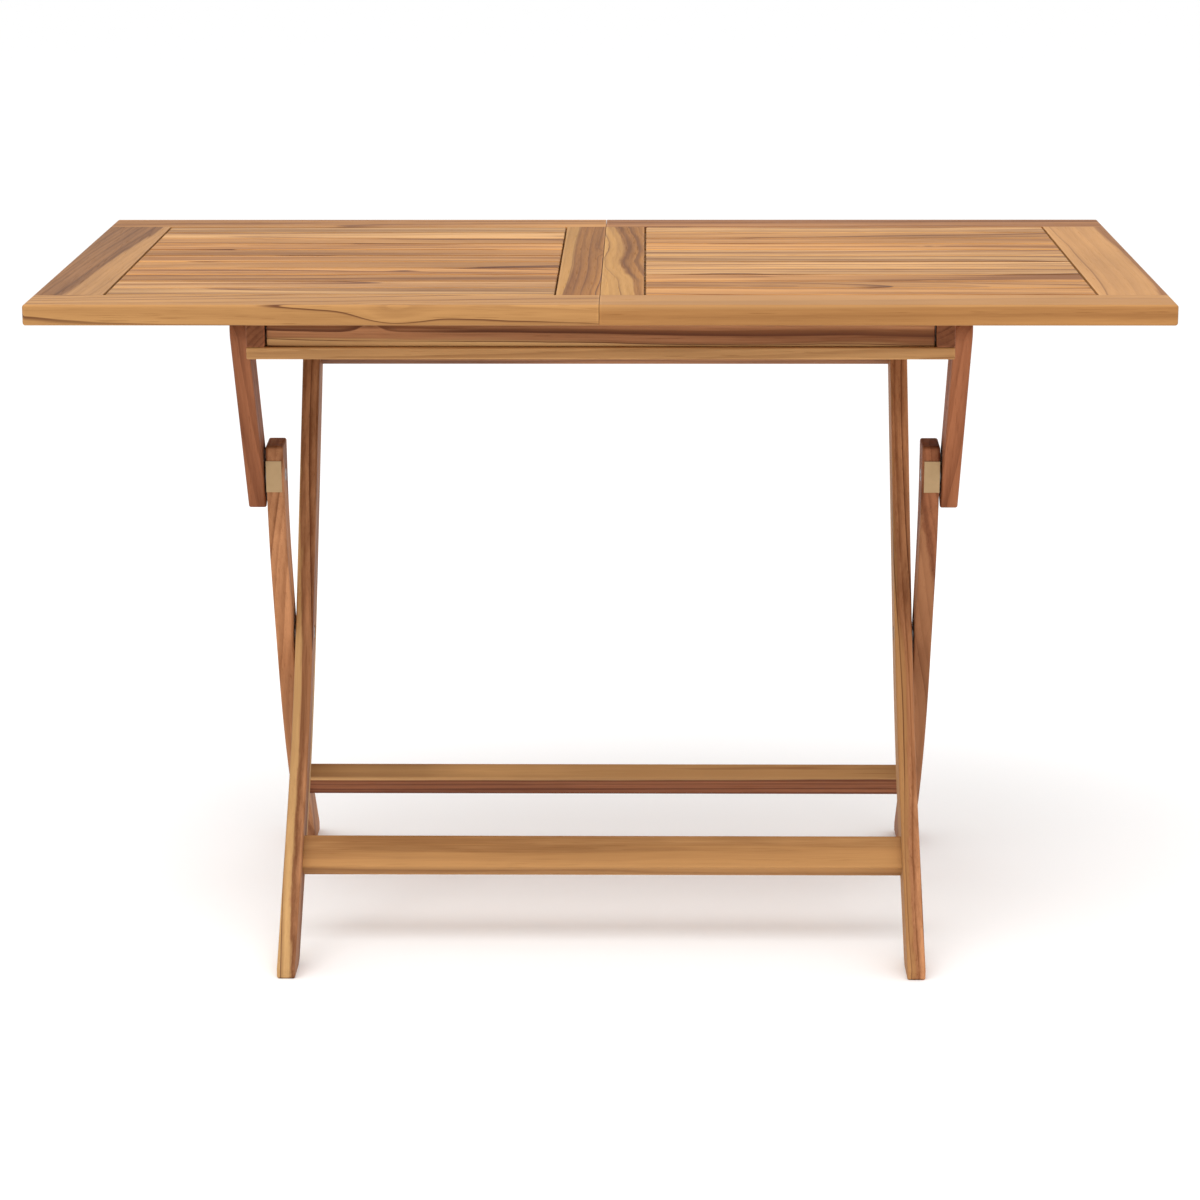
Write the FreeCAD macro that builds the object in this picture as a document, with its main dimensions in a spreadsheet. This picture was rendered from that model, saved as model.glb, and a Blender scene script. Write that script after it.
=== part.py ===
import FreeCAD, Part
import Sketcher
import math
import os
import re

# Folding picnic table in teak: a slatted top in two fixed halves on an underframe, carried by two
# crossed leg frames.  The front legs hang from the cross rails at the back, the rear legs are
# pivoted to them where they cross, and a brace on each side ties the top of the rear leg to the
# cross rail at the front.  X runs along the table, -Y is the front, +Z is up, and the origin is on
# the ground under the middle of the top.  Millimetres.

os.makedirs("parts", exist_ok=True)
doc = FreeCAD.newDocument("FoldingPicnicTable")

# ---------------------------------------------------------------- driving dimensions

DIMENSIONS = {
    # top
    "half_length": 600, "half_depth": 350, "table_height": 750, "top_thick": 22,
    "seam_half_gap": 0.3, "end_rail_width": 70, "end_stile_width": 74, "middle_stile_width": 46,
    "slat_count": 11, "slat_spacing": 4.5, "shadow_gap": 2,
    "tongue_thick": 8, "tongue_length": 10, "tongue_inset": 2, "groove_depth": 11,
    "tenon_length": 30, "tenon_shoulder": 12,
    "outer_round": 3, "slat_round": 1.6, "rail_round": 0.8,
    # boards and their layers, from the middle of the table outwards
    "board_thick": 20, "board_width": 44, "board_round": 2.5, "layer_gap": 2.5,
    "front_leg_inside": 335,
    # underframe
    "frame_reach": 262, "cross_rail_height": 37, "apron_setback": 5, "apron_thick": 20,
    "apron_end_gap": 3, "lower_rail_width": 36, "lower_rail_height": 13, "frame_round": 2,
    "batten_half_width": 30, "batten_thick": 20, "batten_half_length": 228,
    # pivots
    "rear_pivot_y": 200, "rear_pivot_height": 700, "crossing_y": -2, "crossing_height": 315,
    "knuckle_y": -70, "knuckle_height": 515, "front_pivot_y": -196, "front_pivot_height": 703,
    # leg and brace outlines; tilts are degrees from the vertical
    "cap_round": 21.9, "end_round": 4, "toe_round": 3, "heel_round": 30,
    "front_leg_bend_height": 220, "front_leg_bend_radius": 800, "front_leg_foot_tilt": 47.5,
    "front_toe_reach": 312, "front_leg_overhang": 22,
    "rear_leg_top_tilt": 4, "rear_leg_knee_radius": 400, "rear_leg_middle_tilt": 23.5,
    "rear_leg_bend_height": 165, "rear_leg_bend_radius": 670, "rear_leg_foot_tilt": 45.5,
    "rear_toe_reach": 250, "rear_leg_overhang": 38,
    "brace_top_overhang": 22, "brace_foot_overhang": 32.5,
    # stretchers
    "stretcher_width": 41, "stretcher_thick": 20, "stretcher_tenon": 12,
    "stretcher_tenon_width": 28, "stretcher_tenon_thick": 10,
    "upper_stretcher_height": 625, "front_stretcher_height": 101.5,
    "rear_stretcher_y": 120, "rear_stretcher_height": 104,
    # metal
    "pin_radius": 4, "running_clearance": 0.05, "bush_radius": 6, "bush_length": 13,
    "bolt_head_radius": 8, "bolt_head_height": 4, "recess_radius": 8.6, "recess_depth": 5,
    "head_play": 0.4, "socket_radius": 2.9, "socket_depth": 2.5, "bolt_bite": 12.5,
    "bush_end_play": 1,
    "washer_radius": 9, "washer_play": 0.25, "countersink_radius": 7, "countersink_depth": 3,
    "plate_thick": 2, "plate_width": 17.5, "plate_proud": 0.8, "plate_below": 14.5,
    "plate_above": 21.5, "plate_reach": 10,
    "screw_radius": 2.25, "screw_head_radius": 4.5, "screw_head_height": 2.5,
    "screw_tip_radius": 0.55, "screw_slot_width": 1, "screw_slot_depth": 1.4,
    "screw_slot_half_length": 3.15, "frame_screw_length": 34, "leg_screw_length": 50,
    "counterbore_radius": 4.8, "counterbore_depth": 12,
    "batten_screw_inset": 18.4, "apron_screw_spacing": 240,
}

sheet = doc.addObject("Spreadsheet::Sheet", "Sheet")
for row, (alias, value) in enumerate(DIMENSIONS.items(), start=1):
    sheet.set(f"A{row}", alias)
    sheet.set(f"B{row}", str(value))
    sheet.setAlias(f"B{row}", alias)
doc.recompute()


def size(alias):
    """The number that a cell of the sheet holds."""
    return float(getattr(sheet, alias))


def bind(item, target, formula):
    """Bind a property to a formula over the sheet's aliases."""
    words = re.sub(r"[a-z][a-z_]+", lambda word: f"Sheet.{word.group()}", str(formula))
    item.setExpression(target, words)


TOUCHING = 0.01  # two places nearer than this are the same place
LONG_EDGE = 1  # an edge that extends further than this along an axis runs that way
UP = FreeCAD.Vector(0, 0, 1)
ACROSS = FreeCAD.Rotation(FreeCAD.Vector(0, 1, 0), 90)  # turns a shape's own Z to +X

# Heights and layers that several pieces share, as formulas over the sheet.
TOP_UNDERSIDE = "(table_height - top_thick)"
FRAME_UNDERSIDE = f"({TOP_UNDERSIDE} - cross_rail_height)"
LOWER_RAIL_UNDERSIDE = f"({FRAME_UNDERSIDE} - lower_rail_height)"
FRONT_LEG_OUTSIDE = "(front_leg_inside + board_thick)"
REAR_LEG_INSIDE = f"({FRONT_LEG_OUTSIDE} + layer_gap)"
REAR_LEG_OUTSIDE = f"({REAR_LEG_INSIDE} + board_thick)"
BRACE_INSIDE = f"({REAR_LEG_OUTSIDE} + layer_gap)"
JOINT_HEIGHT = "(table_height - (top_thick + tongue_thick) / 2)"

REAR_PIVOT = ("rear_pivot_y", "rear_pivot_height")
CROSSING = ("crossing_y", "crossing_height")
KNUCKLE = ("knuckle_y", "knuckle_height")
FRONT_PIVOT = ("front_pivot_y", "front_pivot_height")

# ---------------------------------------------------------------- building blocks

pieces = []


def keep(item, label):
    """Name a finished sub-part, and list it for the files."""
    item.Label = label
    pieces.append(item)


def box(name, corner, extent):
    """A box from its low corner and its three sides, all formulas."""
    item = doc.addObject("Part::Box", name)
    for axis, formula in zip("xyz", corner):
        bind(item, f"Placement.Base.{axis}", formula)
    for side, formula in zip(("Length", "Width", "Height"), extent):
        bind(item, side, formula)
    return item


def across(kind, name, start, centre):
    """A primitive turned to lie along +X: the start of its axis along X, and the axis's Y and Z."""
    item = doc.addObject(kind, name)
    item.Placement = FreeCAD.Placement(FreeCAD.Vector(), ACROSS)
    for axis, formula in zip("xyz", (start, *centre)):
        bind(item, f"Placement.Base.{axis}", formula)
    return item


def rod(name, radius, start, length, centre):
    """A cylinder along +X: its start and length along X, and the Y and Z of its axis."""
    item = across("Part::Cylinder", name, start, centre)
    bind(item, "Radius", radius)
    bind(item, "Height", length)
    return item


def hex_socket(name, start, centre):
    """The space of a hexagonal socket that opens at its start along X."""
    item = across("Part::Prism", name, start, centre)
    item.Polygon = 6
    bind(item, "Circumradius", "socket_radius")
    bind(item, "Height", "socket_depth")
    return item


def eased(name, base, radius_of):
    """Round a board's edges: radius_of(edge) is an edge's radius, or 0 where it stays sharp."""
    doc.recompute()
    item = doc.addObject("Part::Fillet", name)
    item.Base = base
    radii = [radius_of(edge) for edge in base.Shape.Edges]
    item.Edges = [(index, radius, radius) for index, radius in enumerate(radii, start=1) if radius]
    return item


def fused(name, *shapes):
    item = doc.addObject("Part::MultiFuse", name)
    item.Shapes = list(shapes)
    return item


def cut(name, base, *tools):
    """Take each tool out of the base in turn."""
    for number, tool in enumerate(tools, start=1):
        item = doc.addObject("Part::Cut", f"{name}_cut{number}")
        item.Base = base
        item.Tool = tool
        base = item
    return base


def mirrored(name, source, normal=(1, 0, 0)):
    """The source's mirror image in a plane through the origin."""
    item = doc.addObject("Part::Mirroring", name)
    item.Source = source
    item.Normal = FreeCAD.Vector(*normal)
    return item


def group(name, *members):
    """Separate solids that share one node."""
    item = doc.addObject("Part::Compound", name)
    item.Links = list(members)
    return item


def keep_pair(right, stem):
    """A right-hand piece and its left-hand mirror image, each a sub-part of its own."""
    keep(right, f"right_{stem}")
    keep(mirrored(f"Left_{stem}", right), f"left_{stem}")


def keep_both(right, label):
    """A right-hand piece and its mirror image as one group."""
    keep(group(f"Group_{label}", right, mirrored(f"Left_{label}", right)), label)


# ---------------------------------------------------------------- outlines of bent boards

def direction(tilt, side):
    """Unit vector down a board that leans by tilt degrees; side is -1 forwards, +1 backwards."""
    angle = math.radians(tilt)
    return FreeCAD.Vector(side * math.sin(angle), -math.cos(angle), 0)


def along(point, heading, height):
    """The point at a height on the line through a point, in the outline's plane."""
    return point + heading * ((height - point.y) / heading.y)


def meeting(first, first_heading, second, second_heading):
    """Where two lines in the outline's plane cross."""
    across = FreeCAD.Vector(-second_heading.y, second_heading.x, 0)
    return first + first_heading * ((second - first).dot(across) / first_heading.dot(across))


def strip_corners(line, headings, radii, half_width):
    """Corners of a strip round a bent centre line, down its front side and down its back side.

    line is the centre line's points from top to bottom, headings are the directions of its runs,
    and radii are the bends' radii on the centre line.  Each corner is (point, radius).
    """
    sides = []
    for side in (-1, 1):
        normals = [FreeCAD.Vector(-run.y * side, run.x * side, 0) for run in headings]
        corners = [(line[0] + normals[0] * half_width, 0)]
        for index, radius in enumerate(radii):
            before, after = normals[index], normals[index + 1]
            shift = (before + after) * (half_width / (1 + before.dot(after)))
            outward = 1 if shift.dot(headings[index + 1]) < 0 else -1
            corners.append((line[index + 1] + shift, radius + outward * half_width))
        corners.append((line[-1] + normals[-1] * half_width, 0))
        sides.append(corners)
    return sides


def outline_edges(corners):
    """Lines and tangent arcs round a closed polygon, given as (point, corner radius)."""
    stops = []
    for index, (point, radius) in enumerate(corners):
        before = (corners[index - 1][0] - point).normalize()
        after = (corners[(index + 1) % len(corners)][0] - point).normalize()
        half_angle = before.getAngle(after) / 2
        reach = radius / math.tan(half_angle)
        middle = (before + after).normalize() * (radius / math.sin(half_angle) - radius)
        stops.append((point + before * reach, point + middle, point + after * reach))
    edges = []
    for index, (start, middle, end) in enumerate(stops):
        edges.append(Part.Arc(start, middle, end))
        edges.append(Part.LineSegment(end, stops[(index + 1) % len(stops)][0]))
    return edges


def board_body(name, corners, inside):
    """A board of the common thickness, padded outwards from its inner face, with eased edges."""
    body = doc.addObject("PartDesign::Body", name)
    sketch = body.newObject("Sketcher::SketchObject", f"{name}Outline")
    plane = [item for item in body.Origin.OriginFeatures if item.Role == "YZ_Plane"][0]
    sketch.AttachmentSupport = [(plane, "")]
    sketch.MapMode = "FlatFace"
    edges = outline_edges(corners)
    for index, edge in enumerate(edges):
        sketch.addGeometry(edge, False)
        sketch.addConstraint(Sketcher.Constraint("Block", index))
    pad = body.newObject("PartDesign::Pad", f"{name}Pad")
    pad.Profile = sketch
    bind(pad, "Length", "board_thick")
    doc.recompute()
    rim = [f"Edge{number}" for number, edge in enumerate(pad.Shape.Edges, start=1)
           if edge.BoundBox.XLength < TOUCHING]
    fillet = body.newObject("PartDesign::Fillet", f"{name}Arris")
    fillet.Base = (pad, rim)
    bind(fillet, "Radius", "board_round")
    body.Tip = fillet
    bind(body, "Placement.Base.x", inside)
    doc.recompute()
    return body


# ---------------------------------------------------------------- screws

def wood_screw(length, slotted):
    """A countersunk wood screw along +Z, its head's face at the origin."""
    radius = size("screw_radius")
    point_length = 2 * radius
    shank_length = length - point_length
    head = Part.makeCone(size("screw_head_radius"), radius, size("screw_head_height"))
    shank = Part.makeCylinder(radius, shank_length)
    point = Part.makeCone(radius, size("screw_tip_radius"), point_length, UP * shank_length)
    solid = head.fuse(shank).fuse(point).removeSplitter()
    if slotted:
        width, reach = size("screw_slot_width"), size("screw_slot_half_length")
        for turn in (0, 90):
            slot = Part.makeBox(2 * reach, width, size("screw_slot_depth"),
                                FreeCAD.Vector(-reach, -width / 2, 0))
            slot.rotate(FreeCAD.Vector(), UP, turn)
            solid = solid.cut(slot)
    return solid


def screw_group(label, places, length):
    """Screws at (position, direction) places, and the plain shapes that their holes are cut with."""
    screws, holes = [], []
    for position, heading in places:
        turn = FreeCAD.Rotation(UP, heading)
        for slotted, shapes in ((True, screws), (False, holes)):
            shape = wood_screw(length, slotted)
            shape.Placement = FreeCAD.Placement(position, turn)
            shapes.append(shape)
    item = doc.addObject("Part::Feature", f"Screws_{label}")
    item.Shape = Part.makeCompound(screws)
    tool = doc.addObject("Part::Feature", f"Holes_{label}")
    tool.Shape = Part.makeCompound(holes)
    keep(item, label)
    return tool


frame_x = size("front_leg_inside") + 1.5 * size("board_thick") + size("layer_gap")
top_underside = size("table_height") - size("top_thick")
frame_underside = top_underside - size("cross_rail_height")
lower_rail_underside = frame_underside - size("lower_rail_height")
apron_y = size("frame_reach") - size("apron_setback") - size("apron_thick") / 2
lower_rail_y = size("frame_reach") - size("lower_rail_width") / 2
slat_pitch = 2 * (size("half_depth") - size("end_rail_width")) - size("slat_spacing")
slat_pitch = slat_pitch / size("slat_count")
batten_underside = top_underside - size("batten_thick")

# Screws that hold the underframe together and to the top.  The cross rails' screws go up into the
# slats that the rails pass under, and sit in counterbores because the rails are thick.
RAIL_SCREW_SLATS = (-3, -1, 1, 3)  # counted from the middle slat
BATTEN_SCREW_SLATS = (-4, 0, 4)
frame_seats = []
counterbores = []
for side_x in (-1, 1):
    for side_y in (-1, 1):
        frame_seats.append((side_x * frame_x, side_y * lower_rail_y, lower_rail_underside))
    for slats in RAIL_SCREW_SLATS:
        seat = FreeCAD.Vector(side_x * frame_x, slats * slat_pitch, frame_underside)
        frame_seats.append(seat + UP * size("counterbore_depth"))
        counterbores.append(Part.makeCylinder(size("counterbore_radius"),
                                              size("counterbore_depth"), seat))
    for slats in BATTEN_SCREW_SLATS:
        frame_seats.append((side_x * size("batten_screw_inset"), slats * slat_pitch,
                            batten_underside))
for side_y in (-1, 1):
    for step in (-1, 0, 1):
        frame_seats.append((step * size("apron_screw_spacing"), side_y * apron_y,
                            lower_rail_underside))
frame_places = [(FreeCAD.Vector(*seat), UP) for seat in frame_seats]
frame_holes = screw_group("underframe_screws", frame_places, size("frame_screw_length"))
counterbore_tool = doc.addObject("Part::Feature", "Counterbores")
counterbore_tool.Shape = Part.makeCompound(counterbores)

# ---------------------------------------------------------------- the top

def rail_radius(edge):
    """Outer edges of the top are well rounded, the edge along the slats is only broken."""
    middle = edge.CenterOfMass
    outer_y = abs(middle.y + size("half_depth")) < TOUCHING
    inner_y = abs(middle.y + size("half_depth") - size("end_rail_width")) < TOUCHING
    at_end = abs(middle.x - size("half_length")) < TOUCHING
    at_seam = abs(middle.x - size("seam_half_gap")) < TOUCHING
    if at_seam or (inner_y and at_end):
        return 0
    if outer_y or at_end:
        return size("outer_round")
    return size("rail_round") if middle.z > size("table_height") - TOUCHING else 0


def stile_radius(edge):
    """Only the long edges at the end of the table are rounded."""
    at_end = abs(edge.CenterOfMass.x - size("half_length")) < TOUCHING
    return size("outer_round") if at_end and edge.BoundBox.YLength > LONG_EDGE else 0


STILE_LENGTH = "2 * (half_depth - end_rail_width)"


def stile(name, start, width, groove_start, radius_of):
    """A stile between the long rails, with a tenon at each end and a groove for the slats."""
    board = box(f"{name}Board", (start, "end_rail_width - half_depth", TOP_UNDERSIDE),
                (width, STILE_LENGTH, "top_thick"))
    if radius_of:
        board = eased(f"{name}Eased", board, radius_of)
    tenons = box(f"{name}Tenons",
                 (f"{start} + tenon_shoulder", "end_rail_width - half_depth - tenon_length",
                  JOINT_HEIGHT),
                 (f"{width} - 2 * tenon_shoulder", f"{STILE_LENGTH} + 2 * tenon_length",
                  "tongue_thick"))
    groove = box(f"{name}Groove", (groove_start, "end_rail_width - half_depth", JOINT_HEIGHT),
                 ("groove_depth", STILE_LENGTH, "tongue_thick"))
    return cut(name, fused(f"{name}Blank", board, tenons), groove, frame_holes), tenons


MIDDLE_STILE_END = "(seam_half_gap + middle_stile_width)"
END_STILE_START = "(half_length - end_stile_width)"
middle_stile, middle_tenons = stile(
    "MiddleStile", "seam_half_gap", "middle_stile_width",
    f"{MIDDLE_STILE_END} - groove_depth", None)
end_stile, end_tenons = stile(
    "EndStile", END_STILE_START, "end_stile_width", END_STILE_START, stile_radius)

rail_board = box("RailBoard", ("seam_half_gap", "-half_depth", TOP_UNDERSIDE),
                 ("half_length - seam_half_gap", "end_rail_width", "top_thick"))
front_rail = cut("FrontRail", eased("RailEased", rail_board, rail_radius), middle_tenons, end_tenons)
back_rail = mirrored("BackRail", front_rail, (0, 1, 0))

keep_pair(front_rail, "front_rail")
keep_pair(back_rail, "back_rail")
keep_pair(end_stile, "end_stile")
keep_pair(middle_stile, "middle_stile")

SLAT_PITCH = f"(({STILE_LENGTH} - slat_spacing) / slat_count)"
SLAT_START = f"({MIDDLE_STILE_END} + shadow_gap)"
SLAT_LENGTH = f"({END_STILE_START} - shadow_gap - {SLAT_START})"
for number in range(int(size("slat_count"))):
    low_y = f"end_rail_width - half_depth + slat_spacing + {number} * {SLAT_PITCH}"
    board = box(f"SlatBoard{number}", (SLAT_START, low_y, TOP_UNDERSIDE),
                (SLAT_LENGTH, f"{SLAT_PITCH} - slat_spacing", "top_thick"))
    board = eased(f"SlatEased{number}", board, lambda edge: size("slat_round"))
    tongue = box(f"SlatTongue{number}",
                 (f"{MIDDLE_STILE_END} - tongue_length", f"{low_y} + tongue_inset", JOINT_HEIGHT),
                 (f"{SLAT_LENGTH} + 2 * (tongue_length + shadow_gap)",
                  f"{SLAT_PITCH} - slat_spacing - 2 * tongue_inset", "tongue_thick"))
    slat = cut(f"Slat{number}", fused(f"SlatBlank{number}", board, tongue), frame_holes)
    keep_pair(slat, f"slat_{number + 1:02d}")

# ---------------------------------------------------------------- underframe

def frame_radius(edge):
    """Every edge of an underframe board is broken alike."""
    return size("frame_round")


front_pivot_bore = rod("FrontPivotBore", "pin_radius", REAR_LEG_INSIDE, "board_thick", FRONT_PIVOT)
front_pivot_recess = rod("FrontPivotRecess", "recess_radius", REAR_LEG_INSIDE, "recess_depth",
                         FRONT_PIVOT)
rear_pivot_bore = rod("RearPivotBore", "pin_radius", REAR_LEG_INSIDE, "bolt_bite", REAR_PIVOT)

cross_rail_board = box("CrossRailBoard", (REAR_LEG_INSIDE, "-frame_reach", FRAME_UNDERSIDE),
                       ("board_thick", "2 * frame_reach", "cross_rail_height"))
cross_rail = cut("CrossRail", eased("CrossRailEased", cross_rail_board, frame_radius),
                 front_pivot_bore, front_pivot_recess, rear_pivot_bore, counterbore_tool,
                 frame_holes)
keep_pair(cross_rail, "cross_rail")

APRON_HALF = f"({REAR_LEG_INSIDE} - apron_end_gap / 2)"
apron_board = box("ApronBoard", (f"-{APRON_HALF}", "apron_setback - frame_reach", FRAME_UNDERSIDE),
                  (f"2 * {APRON_HALF}", "apron_thick", "cross_rail_height"))
apron = cut("Apron", eased("ApronEased", apron_board, frame_radius), frame_holes)
keep(apron, "front_apron")
keep(mirrored("BackApron", apron, (0, 1, 0)), "back_apron")

lower_rail_board = box("LowerRailBoard",
                       (f"-{REAR_LEG_OUTSIDE}", "-frame_reach", LOWER_RAIL_UNDERSIDE),
                       (f"2 * {REAR_LEG_OUTSIDE}", "lower_rail_width", "lower_rail_height"))
lower_rail = cut("LowerRail", eased("LowerRailEased", lower_rail_board, frame_radius), frame_holes)
keep(lower_rail, "front_lower_rail")
keep(mirrored("BackLowerRail", lower_rail, (0, 1, 0)), "back_lower_rail")

batten_board = box("BattenBoard",
                   ("-batten_half_width", "-batten_half_length", f"{TOP_UNDERSIDE} - batten_thick"),
                   ("2 * batten_half_width", "2 * batten_half_length", "batten_thick"))
batten = cut("Batten", eased("BattenEased", batten_board, frame_radius), frame_holes)
keep(batten, "centre_batten")

# ---------------------------------------------------------------- leg and brace outlines

half_width = size("board_width") / 2
GROUND = 0
rear_pivot = FreeCAD.Vector(size("rear_pivot_y"), size("rear_pivot_height"), 0)
crossing = FreeCAD.Vector(size("crossing_y"), size("crossing_height"), 0)
knuckle = FreeCAD.Vector(size("knuckle_y"), size("knuckle_height"), 0)
front_pivot = FreeCAD.Vector(size("front_pivot_y"), size("front_pivot_height"), 0)


def foot_corners(toe_side, heel_side, run, toe_y):
    """Corners of a foot: an upright toe, a flat sole and a rounded heel."""
    toe_line, heel_line = toe_side[-1][0], heel_side[-1][0]
    toe_top = meeting(toe_line, run, FreeCAD.Vector(toe_y, 0, 0), FreeCAD.Vector(0, 1, 0))
    heel = along(heel_line, run, GROUND)
    return [(toe_top, size("end_round")), (FreeCAD.Vector(toe_y, GROUND, 0), size("toe_round")),
            (heel, size("heel_round"))]


# Front leg: straight from its pivot through the crossing, then bent forwards to the foot.
front_run = (crossing - rear_pivot).normalize()
front_foot_run = direction(size("front_leg_foot_tilt"), -1)
front_bend = along(crossing, front_run, size("front_leg_bend_height"))
front_line = [rear_pivot - front_run * size("front_leg_overhang"), front_bend,
              along(front_bend, front_foot_run, GROUND)]
front_side, back_side = strip_corners(front_line, [front_run, front_foot_run],
                                      [size("front_leg_bend_radius")], half_width)
front_foot = foot_corners(front_side, back_side, front_foot_run, -size("front_toe_reach"))
front_leg_corners = ([(front_side[0][0], size("cap_round")), front_side[1]] + front_foot
                     + [back_side[1], (back_side[0][0], size("cap_round"))])

# Rear leg: nearly upright at the knuckle, then bent back twice to the foot.
rear_top_run = direction(size("rear_leg_top_tilt"), 1)
rear_middle_run = direction(size("rear_leg_middle_tilt"), 1)
rear_foot_run = direction(size("rear_leg_foot_tilt"), 1)
rear_knee = meeting(knuckle, rear_top_run, crossing, rear_middle_run)
rear_bend = along(crossing, rear_middle_run, size("rear_leg_bend_height"))
rear_line = [knuckle - rear_top_run * size("rear_leg_overhang"), rear_knee, rear_bend,
             along(rear_bend, rear_foot_run, GROUND)]
front_side, back_side = strip_corners(
    rear_line, [rear_top_run, rear_middle_run, rear_foot_run],
    [size("rear_leg_knee_radius"), size("rear_leg_bend_radius")], half_width)
rear_foot = foot_corners(back_side, front_side, rear_foot_run, size("rear_toe_reach"))
rear_leg_corners = ([(front_side[0][0], size("end_round")), front_side[1], front_side[2]]
                    + rear_foot[::-1]
                    + [back_side[2], back_side[1], (back_side[0][0], size("end_round"))])

# Brace: a straight board with a round top end and a square bottom end.
brace_run = (knuckle - front_pivot).normalize()
brace_line = [front_pivot - brace_run * size("brace_top_overhang"),
              knuckle + brace_run * size("brace_foot_overhang")]
front_side, back_side = strip_corners(brace_line, [brace_run], [], half_width)
brace_corners = [(front_side[0][0], size("cap_round")), (front_side[1][0], size("end_round")),
                 (back_side[1][0], size("end_round")), (back_side[0][0], size("cap_round"))]

front_leg_blank = board_body("FrontLegBoard", front_leg_corners, "front_leg_inside")
rear_leg_blank = board_body("RearLegBoard", rear_leg_corners, REAR_LEG_INSIDE)
brace_blank = board_body("BraceBoard", brace_corners, BRACE_INSIDE)

# ---------------------------------------------------------------- stretchers and leg frames

def stretcher(name, centre, run, half_length):
    """A board across the table between two legs, its width along the legs, with end tenons."""
    angle = math.degrees(math.atan2(run.y, run.x))
    parts = []
    for part, length, width, thick in (
            ("Board", half_length, "stretcher_width", "stretcher_thick"),
            ("Tenons", f"{half_length} + stretcher_tenon", "stretcher_tenon_width",
             "stretcher_tenon_thick")):
        item = doc.addObject("Part::Box", f"{name}{part}")
        bind(item, "Length", f"2 * ({length})")
        bind(item, "Width", width)
        bind(item, "Height", thick)
        turn = FreeCAD.Rotation(FreeCAD.Vector(1, 0, 0), angle)
        doc.recompute()
        corner = turn.multVec(FreeCAD.Vector(0, -item.Width.Value / 2, -item.Height.Value / 2))
        item.Placement = FreeCAD.Placement(
            FreeCAD.Vector(-item.Length.Value / 2, centre.x + corner.y, centre.y + corner.z), turn)
        parts.append(item)
    board = eased(f"{name}Eased", parts[0], lambda edge: size("board_round")
                  if edge.BoundBox.XLength > LONG_EDGE else 0)
    return fused(f"{name}Blank", board, parts[1]), parts[1]


def end_screws(label, centres, outside):
    """Screws through both legs into a stretcher's ends, their heads flush with the legs' faces."""
    places = [(FreeCAD.Vector(side * outside, centre.x, centre.y), FreeCAD.Vector(-side, 0, 0))
              for centre in centres for side in (-1, 1)]
    return screw_group(label, places, size("leg_screw_length"))


front_leg_outside = size("front_leg_inside") + size("board_thick")
rear_leg_outside = front_leg_outside + size("layer_gap") + size("board_thick")
upper_centre = along(crossing, front_run, size("upper_stretcher_height"))
front_centre = along(front_bend, front_foot_run, size("front_stretcher_height"))
rear_centre = FreeCAD.Vector(size("rear_stretcher_y"), size("rear_stretcher_height"), 0)

upper_blank, upper_tenons = stretcher("UpperStretcher", upper_centre, front_run, "front_leg_inside")
front_blank, front_tenons = stretcher("FrontStretcher", front_centre, front_foot_run,
                                      "front_leg_inside")
rear_blank, rear_tenons = stretcher("RearStretcher", rear_centre, rear_foot_run, REAR_LEG_INSIDE)

front_screw_holes = end_screws("front_leg_screws", [upper_centre, front_centre], front_leg_outside)
rear_screw_holes = end_screws("rear_leg_screws", [rear_centre], rear_leg_outside)
keep(cut("UpperStretcher", upper_blank, front_screw_holes), "upper_stretcher")
keep(cut("FrontStretcher", front_blank, front_screw_holes), "front_stretcher")
keep(cut("RearStretcher", rear_blank, rear_screw_holes), "rear_stretcher")

# ---------------------------------------------------------------- pivots

def hinge_bolt(name, head_start, length, centre):
    """A shoulder bolt with a round socket head, its head towards the middle of the table."""
    head = rod(f"{name}Head", "bolt_head_radius", head_start, "bolt_head_height", centre)
    shank = rod(f"{name}Shank", "pin_radius", head_start, length, centre)
    socket = hex_socket(f"{name}Socket", head_start, centre)
    return cut(name, fused(f"{name}Blank", head, shank), socket)


def sleeve(name, outer, inner, start, length, centre):
    """A tube along X, such as a bush or a washer."""
    return cut(name, rod(f"{name}Outer", outer, start, length, centre),
               rod(f"{name}Inner", inner, start, length, centre))


RUNNING_RADIUS = "pin_radius + running_clearance"
LEG_HEAD_START = "(front_leg_inside + recess_depth - bolt_head_height - head_play)"
LEG_BOLT_LENGTH = f"{REAR_LEG_INSIDE} + bolt_bite - {LEG_HEAD_START}"
LEG_BUSH_START = "front_leg_inside + recess_depth"
LEG_BUSH_LENGTH = "board_thick - recess_depth"

# Front leg: a recess for each bolt's head, and a bush behind it.
leg_tools = []
for name, centre in (("rear_pivot", REAR_PIVOT), ("centre_pivot", CROSSING)):
    leg_tools.append(rod(f"{name}_recess", "recess_radius", "front_leg_inside", "recess_depth",
                         centre))
    leg_tools.append(rod(f"{name}_bore", "bush_radius", LEG_BUSH_START, LEG_BUSH_LENGTH, centre))
    bush = sleeve(f"{name}_bush", "bush_radius", RUNNING_RADIUS, LEG_BUSH_START, LEG_BUSH_LENGTH,
                  centre)
    keep_both(bush, f"{name}_bushes")
    keep_both(hinge_bolt(f"{name}_bolt", LEG_HEAD_START, LEG_BOLT_LENGTH, centre), f"{name}_bolts")
front_leg = cut("FrontLeg", front_leg_blank, upper_tenons, front_tenons, front_screw_holes,
                *leg_tools)
keep_pair(front_leg, "front_leg")

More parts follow.
